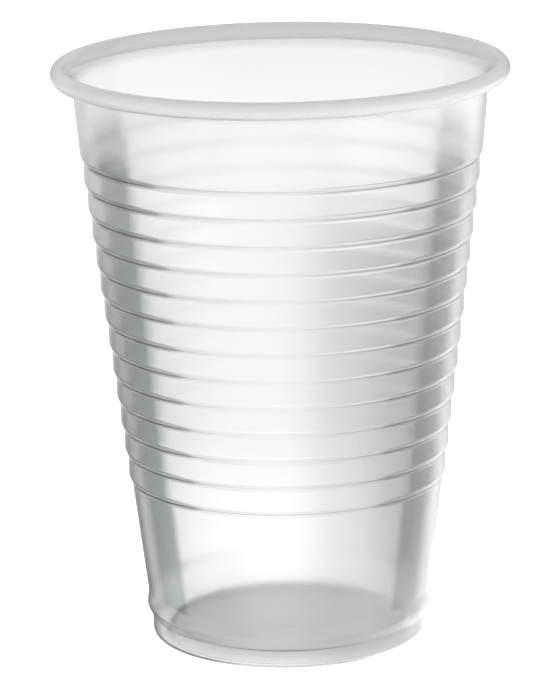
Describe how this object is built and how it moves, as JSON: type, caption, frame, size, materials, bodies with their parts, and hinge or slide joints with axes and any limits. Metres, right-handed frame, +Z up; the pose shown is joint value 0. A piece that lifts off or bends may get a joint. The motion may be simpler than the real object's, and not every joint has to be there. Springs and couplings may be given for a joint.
{
  "type": "plastic disposable cup",
  "caption": "Thin clear plastic disposable cup for cold drinks, with a ringed tapering wall, a rolled rim and a raised floor.",
  "frame": {"origin": "centre of the ring on the underside that the cup rests on", "axes": "+Z up along the cup's axis, towards the rim; the cup is round, so X and Y are free"},
  "size_m": [0.072, 0.072, 0.0927],
  "materials": {
    "plastic": "thin clear plastic, smooth and glossy, with a faint milky haze that is denser in the rolled rim"
  },
  "bodies": {
    "root": {"cup": "plastic"}
  },
  "joints": []
}
